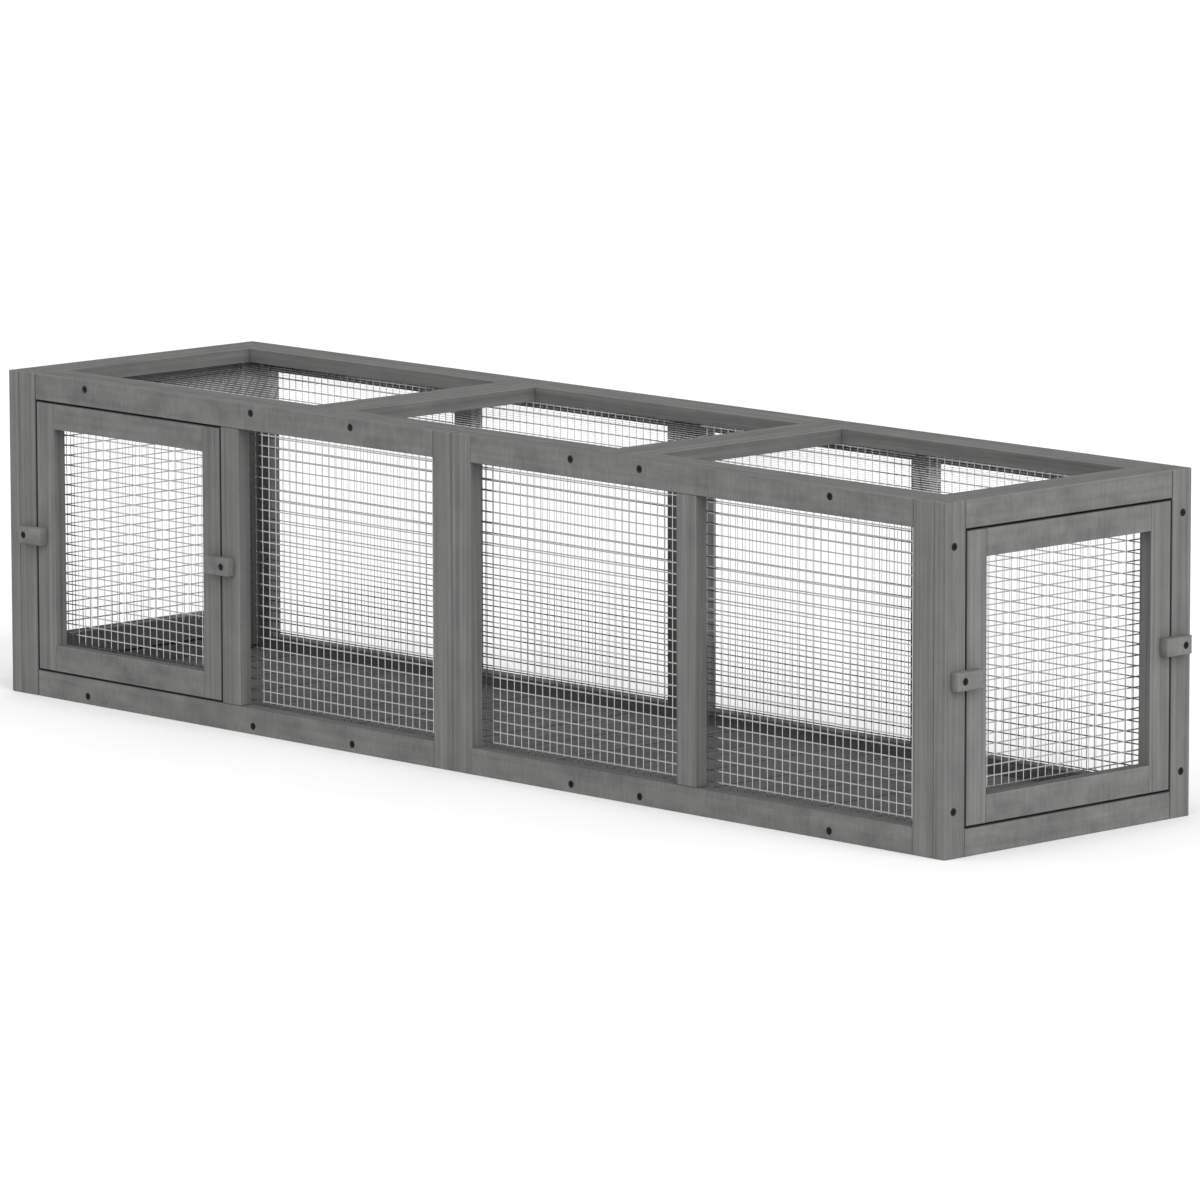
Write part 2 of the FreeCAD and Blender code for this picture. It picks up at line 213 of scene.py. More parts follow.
class Socket:
    """One output of a shader node, used in sums like a number."""

    def __init__(self, graph: "Graph", output: bpy.types.NodeSocket | None) -> None:
        """Keep the output and the graph that it is in."""
        self.graph = graph
        self.output = output

    def _math(self, operation: str, first: "Socket | float", second: "Socket | float") -> "Socket":
        """Add a Math node over two values."""
        return self.graph.node("ShaderNodeMath", {"operation": operation}, {0: first, 1: second})

    def _vector(self, operation: str, inputs: dict, output: int = 0) -> "Socket":
        """Add a Vector Math node over this vector and its other inputs."""
        settings = {"operation": operation}
        return self.graph.node("ShaderNodeVectorMath", settings, {0: self, **inputs}, output)

    def __add__(self, other: "Socket | float") -> "Socket":
        """Sum."""
        return self._math("ADD", self, other)

    __radd__ = __add__

    def __sub__(self, other: "Socket | float") -> "Socket":
        """Difference."""
        return self._math("SUBTRACT", self, other)

    def __rsub__(self, other: float) -> "Socket":
        """Difference from a number."""
        return self._math("SUBTRACT", other, self)

    def __mul__(self, other: "Socket | float") -> "Socket":
        """Product."""
        return self._math("MULTIPLY", self, other)

    __rmul__ = __mul__

    def at_most(self, limit: float) -> "Socket":
        """The value, cut off at a limit."""
        return self._math("MINIMUM", self, limit)

    def stretched(self, along: float, across: float) -> "Socket":
        """A vector, its first part times one number and the other two times another."""
        return self._vector("MULTIPLY", {1: (along, across, across)})

    def length(self) -> "Socket":
        """A vector's length."""
        return self._vector("LENGTH", {}, output=1)

    def scaled(self, amount: "Socket | float") -> "Socket":
        """A colour or vector times one value."""
        return self._vector("SCALE", {"Scale": amount})


@dataclass(frozen=True)
class Pattern:
    """A noise: its repeats in a metre along the grain and across it, its detail and roughness."""

    along: float
    across: float
    detail: float = 2.0
    roughness: float = 0.5


class Graph:
    """The node tree of one material or world."""

    def __init__(self, tree: bpy.types.NodeTree) -> None:
        """Start from an empty tree."""
        self.tree = tree
        tree.nodes.clear()

    @classmethod
    def of_material(cls, name: str) -> "tuple[bpy.types.Material, Graph]":
        """Make a material.

        Args:
            name: what it is called.

        Returns:
            The material and its empty graph.
        """
        made = bpy.data.materials.new(name)
        made.use_nodes = True
        return made, cls(made.node_tree)

    def node(
        self,
        kind: str,
        settings: dict | None = None,
        inputs: dict | None = None,
        output: int | str = 0,
    ) -> Socket:
        """Add a node.

        Args:
            kind: the node's type.
            settings: its own properties, set before its sockets.
            inputs: a value or a link for each socket that is used, by name or number.
            output: the socket that is handed back.

        Returns:
            That output, empty for a node that has none.
        """
        made = self.tree.nodes.new(kind)
        for name, value in (settings or {}).items():
            setattr(made, name, value)
        for name, value in (inputs or {}).items():
            if isinstance(value, Socket):
                self.tree.links.new(value.output, made.inputs[name])
            else:
                made.inputs[name].default_value = value
        return Socket(self, made.outputs[output] if len(made.outputs) else None)

    def attribute(self, name: str, output: str = "Fac") -> Socket:
        """What a piece's mesh carries under a name."""
        return self.node("ShaderNodeAttribute", {"attribute_name": name}, output=output)

    def noise(self, place: Socket, pattern: Pattern) -> Socket:
        """Add a noise.

        Args:
            place: the coordinates, the grain along their first part.
            pattern: how fine it is.

        Returns:
            The noise, from -0.5 to 0.5.
        """
        inputs = {
            "Vector": place.stretched(pattern.along, pattern.across),
            "Scale": 1.0,
            "Detail": pattern.detail,
            "Roughness": pattern.roughness,
        }
        return self.node("ShaderNodeTexNoise", {}, inputs) - MIDDLE

    def mixed(self, share: Socket, first: Colour, second: Colour) -> Socket:
        """A colour between two others."""
        inputs = {MIX_SHARE: share, MIX_FIRST: (*first, 1.0), MIX_SECOND: (*second, 1.0)}
        return self.node("ShaderNodeMix", {"data_type": "RGBA"}, inputs, MIX_RESULT)

    def surface(self, shader: Socket) -> None:
        """Link a shader to the material's output."""
        self.node("ShaderNodeOutputMaterial", {}, {"Surface": shader})

    def dress(self, sockets: dict) -> None:
        """Make the surface a Principled shader with these values and links."""
        self.surface(self.node("ShaderNodeBsdfPrincipled", {}, sockets))


@dataclass(frozen=True)
class StainedWood:
    """Softwood under a thin grey stain: long streaks, growth rings, fine fibres, a cloudy tone.

    On planed faces the streaks are mostly gone, and the planer's fine marks lie across the grain.
    """

    name: str
    slot: Slot
    cool: Colour
    warm: Colour
    streak_pattern: Pattern = Pattern(1.8, 125.0, roughness=0.6)
    fibre_pattern: Pattern = Pattern(45.0, 1500.0)
    cloud_pattern: Pattern = Pattern(22.0, 38.0, detail=3.0)
    chatter_pattern: Pattern = Pattern(90.0, 22.0)
    mark_pattern: Pattern = Pattern(330.0, 70.0)
    wander_pattern: Pattern = Pattern(3.0, 14.0, detail=1.0)
    wander: float = 0.011
    rings_per_metre: float = 330.0
    ring_detail: float = 2.0
    streaks: float = 0.92
    rings: float = 0.34
    fibres: float = 0.22
    clouds: float = 0.27
    chatter: float = 0.20
    planed_streaks: float = 0.32
    planed_clouds: float = 0.64
    planer_marks: float = 0.34
    warmth: float = 1.6
    roughness: float = 0.78
    streak_roughness: float = 0.2
    fibre_roughness: float = 0.15
    sheen: float = 0.02
    relief: float = 0.35
    relief_depth: float = 0.0004
    streak_relief: float = 0.6
    ring_relief: float = 0.5

    def material(self) -> bpy.types.Material:
        """Build the finish over the boards' own grain coordinates.

        Returns:
            The material.
        """
        made, graph = Graph.of_material(self.name)
        grain = graph.attribute(GRAIN, "Vector")
        # tone: each board's own tone times the painted shade and highlight of its faces
        tone, planed = graph.attribute(TONE_AND_PAINTED_LIGHT), graph.attribute(PLANED)
        streak = graph.noise(grain, self.streak_pattern)
        fibre = graph.noise(grain, self.fibre_pattern)
        cloud = graph.noise(grain, self.cloud_pattern)
        chatter = graph.noise(grain, self.chatter_pattern)
        marks = graph.noise(grain, self.mark_pattern)
        wander = graph.noise(grain, self.wander_pattern) * self.wander
        turns = (grain.stretched(0.0, 1.0).length() + wander) * self.rings_per_metre
        ring = graph.node(
            "ShaderNodeTexNoise",
            {"noise_dimensions": "1D"},
            {"W": turns, "Scale": 1.0, "Detail": self.ring_detail},
        ) - MIDDLE
        kept = 1.0 - planed * (1.0 - self.planed_streaks)
        lines = (streak * self.streaks + ring * self.rings) * kept
        clouds = cloud * (self.clouds + planed * (self.planed_clouds - self.clouds))
        across = (chatter * self.chatter + marks * self.planer_marks) * planed
        shade = 1.0 + lines + fibre * self.fibres + clouds + across
        stain = graph.mixed(cloud * self.warmth + MIDDLE, self.cool, self.warm)
        height = fibre + streak * self.streak_relief + ring * self.ring_relief
        bump = graph.node(
            "ShaderNodeBump",
            {},
            {"Strength": self.relief, "Distance": self.relief_depth, "Height": height},
        )
        rough = self.roughness + streak * self.streak_roughness + fibre * self.fibre_roughness
        graph.dress(
            {
                "Base Color": stain.scaled(shade * tone),
                "Roughness": rough,
                "Specular IOR Level": self.sheen,
                "Normal": bump,
            }
        )
        return made


@dataclass(frozen=True)
class GalvanisedWire:
    """Zinc-coated wire: dull silver with faint cloudy patches."""

    name: str = "galvanised_wire"
    slot: Slot = Slot.WIRE
    dull: Colour = (0.405, 0.41, 0.415)
    bright: Colour = (0.54, 0.545, 0.55)
    patch_pattern: Pattern = Pattern(210.0, 210.0)
    spangle_pattern: Pattern = Pattern(1300.0, 1300.0, detail=1.0)
    patches: float = 1.1
    spangles: float = 0.5
    roughness: float = 0.16
    patch_roughness: float = 0.08

    def material(self) -> bpy.types.Material:
        """Build the finish over object coordinates and each wire's tone, which is painted light: a
        wire layer drawn lighter or darker.

        Returns:
            The material.
        """
        made, graph = Graph.of_material(self.name)
        place = graph.node("ShaderNodeTexCoord", output="Object")
        patch = graph.noise(place, self.patch_pattern)
        spangle = graph.noise(place, self.spangle_pattern)
        share = patch * self.patches + spangle * self.spangles + MIDDLE
        zinc = graph.mixed(share, self.dull, self.bright)
        graph.dress(
            {
                # painted light: each wire layer's zinc drawn lighter or darker by its tone
                "Base Color": zinc.scaled(graph.attribute(TONE_AND_PAINTED_LIGHT)),
                "Metallic": 1.0,
                "Roughness": self.roughness + patch * self.patch_roughness,
            }
        )
        return made


@dataclass(frozen=True)
class BlackOxide:
    """Blackened screw steel with a light haze."""

    name: str = "black_oxide"
    slot: Slot = Slot.SCREW
    deep: Colour = (0.004, 0.004, 0.004)
    hazy: Colour = (0.016, 0.016, 0.016)
    haze_pattern: Pattern = Pattern(900.0, 900.0)
    haze: float = 1.5
    roughness: float = 0.42
    haze_roughness: float = 0.3
    sheen: float = 0.12

    def material(self) -> bpy.types.Material:
        """Build the finish over object coordinates.

        Returns:
            The material.
        """
        made, graph = Graph.of_material(self.name)
        haze = graph.noise(graph.node("ShaderNodeTexCoord", output="Object"), self.haze_pattern)
        graph.dress(
            {
                "Base Color": graph.mixed(haze * self.haze + MIDDLE, self.deep, self.hazy),
                "Roughness": self.roughness + haze * self.haze_roughness,
                "Specular IOR Level": self.sheen,
            }
        )
        return made


Finish = StainedWood | GalvanisedWire | BlackOxide

FRAME_WOOD = StainedWood(
    "grey_stained_frame", Slot.WOOD, cool=(0.1715, 0.1725, 0.1710), warm=(0.1815, 0.1805, 0.1740)
)
# The floor's stain drawn darker than the frame's: painted shade within the tunnel
FLOOR_WOOD_PAINTED_SHADE = StainedWood(
    "grey_stained_floor", Slot.FLOOR, cool=(0.107, 0.108, 0.107), warm=(0.113, 0.112, 0.109)
)
WIRE = GalvanisedWire()
SCREW_BLACK = BlackOxide()


class Bench:
    """Modelling steps that the pieces share, done with Blender's operators."""

    @staticmethod
    def clear() -> None:
        """Leave edit mode and select nothing."""
        if bpy.context.object and bpy.context.object.mode != "OBJECT":
            bpy.ops.object.mode_set(mode="OBJECT")
        bpy.ops.object.select_all(action="DESELECT")

    @staticmethod
    def choose(pieces: Sequence[Piece]) -> None:
        """Select some pieces and nothing else.

        Args:
            pieces: the pieces, of which the first becomes the active one.
        """
        Bench.clear()
        for piece in pieces:
            piece.select_set(True)
        bpy.context.view_layer.objects.active = pieces[0]

    @staticmethod
    def place(piece: Piece, frame: Matrix) -> Piece:
        """Put a piece in place.

        Args:
            piece: the piece.
            frame: where it goes.

        Returns:
            The piece, with its place in its mesh.
        """
        Bench.choose([piece])
        piece.matrix_world = frame
        bpy.ops.object.transform_apply(location=True, rotation=True, scale=True)
        return piece

    @staticmethod
    def take(name: str) -> Piece:
        """Take the primitive that was just added.

        Args:
            name: what it is called from now on.

        Returns:
            The piece, with its place, turn and size in its mesh.
        """
        piece = bpy.context.object
        piece.name = piece.data.name = name
        bpy.ops.object.transform_apply(location=True, rotation=True, scale=True)
        return piece

    @staticmethod
    def block(name: str, box: Box) -> Piece:
        """Add a block.

        Args:
            name: what it is called.
            box: the space that it fills.

        Returns:
            The block.
        """
        Bench.clear()
        bpy.ops.mesh.primitive_cube_add(size=1.0, location=box.centre, scale=box.size)
        return Bench.take(name)

    @staticmethod
    def edit(piece: Piece, kind: str) -> bmesh.types.BMesh:
        """Enter edit mode with nothing selected.

        Args:
            piece: the active piece.
            kind: what is selected next, EDGE or FACE.

        Returns:
            The mesh in edit mode.
        """
        bpy.ops.object.mode_set(mode="EDIT")
        bpy.ops.mesh.select_mode(type=kind)
        bpy.ops.mesh.select_all(action="DESELECT")
        return bmesh.from_edit_mesh(piece.data)

    @staticmethod
    def pick_edges(piece: Piece, wanted: Callable[[Vector], bool]) -> None:
        """Enter edit mode with some edges selected.

        Args:
            piece: the active piece.
            wanted: tells from an edge's middle whether it is one of them.
        """
        mesh = Bench.edit(piece, "EDGE")
        for edge in mesh.edges:
            edge.select_set(wanted((edge.verts[0].co + edge.verts[1].co) / 2))
        bmesh.update_edit_mesh(piece.data)

    @staticmethod
    def pick_faces(piece: Piece, wanted: Callable[[Vector, Vector], bool]) -> None:
        """Enter edit mode with some faces selected.

        Args:
            piece: the active piece.
            wanted: tells from a face's middle and normal whether it is one of them.
        """
        mesh = Bench.edit(piece, "FACE")
        for face in mesh.faces:
            face.select_set(wanted(face.calc_center_median(), face.normal))
        bmesh.update_edit_mesh(piece.data)

    @staticmethod
    def extrude_down(depth: float) -> None:
        """Extrude the selected faces along -Z."""
        bpy.ops.mesh.extrude_region_move(TRANSFORM_OT_translate={"value": (0.0, 0.0, -depth)})

    @staticmethod
    def ease(offset: float, steps: int = EASE_STEPS) -> None:
        """Round over the selected edges and leave edit mode."""
        bpy.ops.mesh.bevel(offset=offset, segments=steps, profile=ROUND, affect="EDGES")
        bpy.ops.object.mode_set(mode="OBJECT")

    @staticmethod
    def apply(piece: Piece, kind: str, **settings: object) -> None:
        """Add a modifier and apply it.

        Args:
            piece: what it works on.
            kind: the modifier's type.
            settings: its properties.
        """
        Bench.choose([piece])
        modifier = piece.modifiers.new(kind.lower(), kind)
        for name, value in settings.items():
            setattr(modifier, name, value)
        bpy.ops.object.modifier_apply(modifier=modifier.name)

    @staticmethod
    def repeat(piece: Piece, count: int, step: Vector) -> None:
        """Repeat a piece in a row.

        Args:
            piece: the first of the row.
            count: how many there are in the end.
            step: the way from one to the next.
        """
        Bench.apply(
            piece,
            "ARRAY",
            count=count,
            use_relative_offset=False,
            use_constant_offset=True,
            constant_offset_displace=step,
        )

    @staticmethod
    def cut(piece: Piece, cutters: Sequence[Piece]) -> None:
        """Cut other pieces out of one.

        Args:
            piece: what is cut.
            cutters: what is taken away from it, one after the other. They are removed.
        """
        for cutter in cutters:
            Bench.apply(piece, "BOOLEAN", object=cutter, operation="DIFFERENCE", solver="EXACT")
            bpy.data.objects.remove(cutter)

    @staticmethod
    def join(pieces: Sequence[Piece], name: str) -> Piece:
        """Make several pieces one.

        Args:
            pieces: the pieces.
            name: what the whole is called.

        Returns:
            The whole.
        """
        Bench.choose(pieces)
        if len(pieces) > 1:
            bpy.ops.object.join()
        pieces[0].name = pieces[0].data.name = name
        return pieces[0]

    @staticmethod
    def copy(piece: Piece, frame: Matrix) -> Piece:
        """Copy a piece.

        Args:
            piece: the model.
            frame: where the copy goes.

        Returns:
            The copy, with a mesh of its own.
        """
        made = piece.copy()
        made.data = piece.data.copy()
        bpy.context.scene.collection.objects.link(made)
        return Bench.place(made, frame)

    @staticmethod
    def write(piece: Piece, name: str, values: Sequence[float]) -> None:
        """Keep a number for each face in a piece's mesh."""
        piece.data.attributes.new(name, "FLOAT", "FACE").data.foreach_set("value", values)

    @staticmethod
    def tint(piece: Piece, tone: float = 1.0) -> Piece:
        """Give every face of a piece one tone, painted light for a wire layer, and hand the piece
        back.
        """
        Bench.write(piece, TONE_AND_PAINTED_LIGHT, [tone] * len(piece.data.polygons))
        return piece

    @staticmethod
    def smooth(piece: Piece, angle: float) -> None:
        """Smooth the shading across edges flatter than an angle in degrees."""
        Bench.choose([piece])
        bpy.ops.object.shade_smooth_by_angle(angle=math.radians(angle))


def facing(place: Vector, outward: Vector, along: Vector) -> Matrix:
    """A frame's matrix from its origin, its Z direction, and its X direction square to that."""
    columns = Matrix((along, outward.cross(along), outward)).transposed()
    return Matrix.Translation(place) @ columns.to_4x4()


def main_axis(normal: Vector) -> int:
    """The place in a vector of the axis that a normal mostly looks along."""
    return max(AXES, key=lambda i: abs(normal[i]))


@dataclass(frozen=True)
class ScrewPlace:
    """Where a screw's head lies in a face, and the way that the face looks."""

    point: Vector
    outward: Vector

    @property
    def matrix(self) -> Matrix:
        """The screw's frame, with its head's slots along the model's axes."""
        along = Axis.X.way if abs(self.outward.z) > LEANING else Axis.Z.way
        return facing(self.point, self.outward, along)


@dataclass
class CountersunkScrew:
    """A countersunk wood screw with a cross recess, along -Z from its face at Z = 0."""

    length: float = SCREW_LENGTH
    head_radius: float = 0.0044
    head_depth: float = 0.0024
    shank_radius: float = 0.0018
    sink: float = 0.00015
    tip: float = 0.005
    tip_share: float = 0.2
    rim: float = 0.00025
    recess_length: float = 0.0048
    recess_width: float = 0.0009
    recess_depth: float = 0.0014
    sides: int = 24
    crease: float = 40.0
    seat_spare: float = 0.00025
    seat_proud: float = 0.001

    def cone(self, name: str, narrow: float, wide: float, depth: float, middle: float) -> Piece:
        """Add a cone along Z.

        Args:
            name: what it is called.
            narrow: its radius at its low end.
            wide: its radius at its high end.
            depth: its length.
            middle: how high its middle is.

        Returns:
            The cone.
        """
        Bench.clear()
        bpy.ops.mesh.primitive_cone_add(
            vertices=self.sides,
            radius1=narrow,
            radius2=wide,
            depth=depth,
            location=(0.0, 0.0, middle),
        )
        return Bench.take(name)

    def model(self) -> Piece:
        """One screw at the origin.

        Returns:
            The screw, its head's edge eased and its recess cut.
        """
        top, neck = -self.sink, -self.sink - self.head_depth
        middle = top - self.head_depth / 2
        screw = self.cone("screw", self.shank_radius, self.head_radius, self.head_depth, middle)
        Bench.pick_faces(screw, lambda middle, normal: normal.z < -SQUARE)
        straight = self.length - self.head_depth - self.tip
        Bench.extrude_down(straight)
        Bench.extrude_down(self.tip)
        end = neck - straight - self.tip
        bpy.ops.transform.resize(
            value=(self.tip_share, self.tip_share, 1.0), center_override=(0.0, 0.0, end)
        )
        Bench.pick_edges(screw, lambda middle: abs(middle.z - top) < TOUCH)
        Bench.ease(self.rim)
        reach, half = self.recess_length / 2, self.recess_width / 2
        floor = top - self.recess_depth
        bars = []
        for wide, narrow in ((reach, half), (half, reach)):
            space = Box(Vector((-wide, -narrow, floor)), Vector((wide, narrow, -floor)))
            bars.append(Bench.block("recess", space))
        Bench.cut(screw, bars)
        Bench.smooth(screw, self.crease)
        return screw

    def seat(self, place: ScrewPlace) -> Piece:
        """The cutter for the head's seat in the wood.

        Args:
            place: where the head lies.

        Returns:
            The cutter, a little wider than the head.
        """
        deep, proud = self.head_depth + 2 * self.sink, self.seat_proud
        slope = (self.head_radius - self.shank_radius) / self.head_depth
        wide = self.head_radius + self.seat_spare + slope * proud
        narrow = wide - slope * (deep + proud)
        cutter = self.cone("seat", narrow, wide, deep + proud, (proud - deep) / 2)
        return Bench.place(cutter, place.matrix)

    def set_of(self, places: Sequence[ScrewPlace], name: str) -> Piece:
        """Repeat the screw.

        Args:
            places: where the screws go.
            name: what the set is called.

        Returns:
            The screws as one piece.
        """
        model = self.model()
        copies = [Bench.copy(model, place.matrix) for place in places]
        bpy.data.objects.remove(model)
        return Bench.join(copies, name)


@dataclass(frozen=True)
class FaceTonesAndPaintedLight:
    """How light the stain lies on a board's faces.

    Dark joints are the wood's own. The rest is painted light: painted shade on faces that look up,
    in gaps and beside them, on ledges, on reveals and on faces that look into the tunnel, a
    painted highlight on a loose block's outer face, and on outer edges a little wear with a
    painted highlight.
    """

    # painted shade on faces that look up; set above 1, a painted highlight
    top: float = 0.80
    # a little wear and a painted highlight on outer eased edges
    edge: float = 1.03
    joint: float = 0.76
    # painted shade on faces across a gap from another board
    gap: float = 0.30
    # painted shade on edges beside a gap
    gap_edge_painted_shade: float = 0.42
    # painted shade on faces that look into the tunnel
    inside: float = 0.50
    # painted shade on ledges that look up within the frame
    ledge_painted_shade: float = 0.64
    # painted shade on reveals and the other faces within the frame
    reveal: float = 0.84


@dataclass
class Board:
    """A straight board with eased edges, its own tone and its own run of grain.

    The hull is the outside of the whole frame, and a board without one is a loose block.
    """

    name: str
    box: Box
    grain: Axis
    ease: float = 0.0009
    segments: int = EASE_STEPS
    edge_reach: float = 1.2
    tone_spread: float = 0.005
    tones: FaceTonesAndPaintedLight = FaceTonesAndPaintedLight()
    hull: Box | None = None
    joint_reach: float = 0.0005
    gap_reach: float = 0.003
    seats: Sequence[ScrewPlace] = ()
    beside: Sequence[Box] = ()
    log_length: float = 40.0
    pith_across: tuple[float, float] = (0.03, 0.09)
    pith_deep: tuple[float, float] = (0.02, 0.06)

    def build(self) -> Piece:
        """Model the board and write its grain and tone into its mesh.

        Returns:
            The board.
        """
        board = Bench.block(self.name, self.box)
        Bench.pick_edges(board, lambda middle: True)
        Bench.ease(self.ease, self.segments)
        screw = CountersunkScrew()
        Bench.cut(board, [screw.seat(place) for place in self.seats])
        self.mark(board)
        return board

    def mark(self, board: Piece) -> None:
        """Write the grain's coordinates and each face's tone, with its painted shade or highlight,
        as attributes.

        Args:
            board: the piece, in the board's own box.
        """
        chance = random.Random(self.name)
        run = self.grain.value
        across, deep = (i for i in AXES if i != run)
        shift = Vector((chance.uniform(0.0, self.log_length), 0.0, 0.0))
        shift.y = chance.choice((-1.0, 1.0)) * chance.uniform(*self.pith_across)
        shift.z = chance.choice((-1.0, 1.0)) * chance.uniform(*self.pith_deep)
        tone = 1.0 + chance.uniform(-self.tone_spread, self.tone_spread)
        middle = self.box.centre
        places = []
        for vertex in board.data.vertices:
            from_middle = vertex.co - middle
            places += [from_middle[i] + move for i, move in zip((run, across, deep), shift)]
        grain = board.data.attributes.new(GRAIN, "FLOAT_VECTOR", "POINT")
        grain.data.foreach_set("vector", places)
        faces = board.data.polygons
        Bench.write(board, TONE_AND_PAINTED_LIGHT, [tone * self.face_tone_and_painted_light(face) for face in faces])
        Bench.write(board, PLANED, [float(self.is_planed(face)) for face in faces])

    def face_tone_and_painted_light(self, face: bpy.types.MeshPolygon) -> float:
        """How light a face is drawn beside the board's own tone: darker at a joint, and elsewhere
        painted shade or highlight by where the face lies.

        Args:
            face: the face.

        Returns:
            Its share of that tone.
        """
        middle, normal, tones = face.center, face.normal, self.tones
        near = self.edge_reach * self.ease
        ranges = zip(self.box.low, middle, self.box.high)
        if sum(min(place - low, high - place) < near for low, place, high in ranges) > 1:
            if self.met(middle, near + self.joint_reach):
                return tones.joint
            # painted shade on edges beside a gap; on outer edges a little wear and a painted
            # highlight
            return tones.gap_edge_painted_shade if self.met(middle, self.gap_reach) else tones.edge
        axis = main_axis(normal)
        looks_up = normal.z > LEANING
        if self.hull is None or self.on_hull(middle, axis):
            # painted shade on faces that look up; on a loose block, a painted highlight on its
            # outer face
            return tones.top if looks_up else 1.0
        if axis == min(AXES, key=lambda i: self.box.size[i]):
            # painted shade on faces that look into the tunnel
            return tones.inside
        # painted shade on faces across a gap from another board
        across_gap = middle + normal * self.gap_reach
        if self.met(across_gap, 0.0) and not self.met(middle, self.joint_reach):
            return tones.gap
        # painted shade on ledges that look up, and on reveals
        return tones.ledge_painted_shade if looks_up else tones.reveal

    def is_planed(self, face: bpy.types.MeshPolygon) -> bool:
        """Whether a face shows the planer's marks.

        Args:
            face: the face.

        Returns:
            True all round a loose block, and on the outer face of a board that lies.
        """
        if self.hull is None:
            return True
        axis = main_axis(face.normal)
        lies = self.grain is not Axis.Z and axis != Axis.Z.value
        return lies and self.on_hull(face.center, axis)

    def on_hull(self, point: Vector, axis: int) -> bool:
        """Whether a point lies on the outside of the whole frame along an axis."""
        sides = (self.hull.low[axis], self.hull.high[axis])
        return min(abs(point[axis] - side) for side in sides) < self.ease

    def met(self, point: Vector, spare: float) -> bool:
        """Whether another board is within a distance of a point."""
        return any(box.holds(point, spare) for box in self.beside)


@dataclass(frozen=True)
class WireRow:
    """One layer of a mesh's wires, with one wire's offset from the sheet's middle."""

    pitch: float
    offset: float
    width: float
    # painted light: the layer's zinc drawn lighter or darker for how its wires catch the light
    tone: float

    def places(self, reach: float) -> list[float]:
        """Where the wires lie.

        Args:
            reach: how far the sheet goes from its middle.

        Returns:
            The places of the wires that are whole, from the sheet's middle.
        """
        room = reach - self.width / 2
        first = math.ceil((-room - self.offset) / self.pitch)
        last = math.floor((room - self.offset) / self.pitch)
        return [self.offset + number * self.pitch for number in range(first, last + 1)]


# Painted light: the wall and door uprights drawn lighter, the crosswires darker
UPRIGHTS = WireRow(pitch=0.0120, offset=0.0, width=0.0012, tone=1.06)
CROSSWIRES = WireRow(pitch=0.01293, offset=0.0062, width=0.0015, tone=0.76)


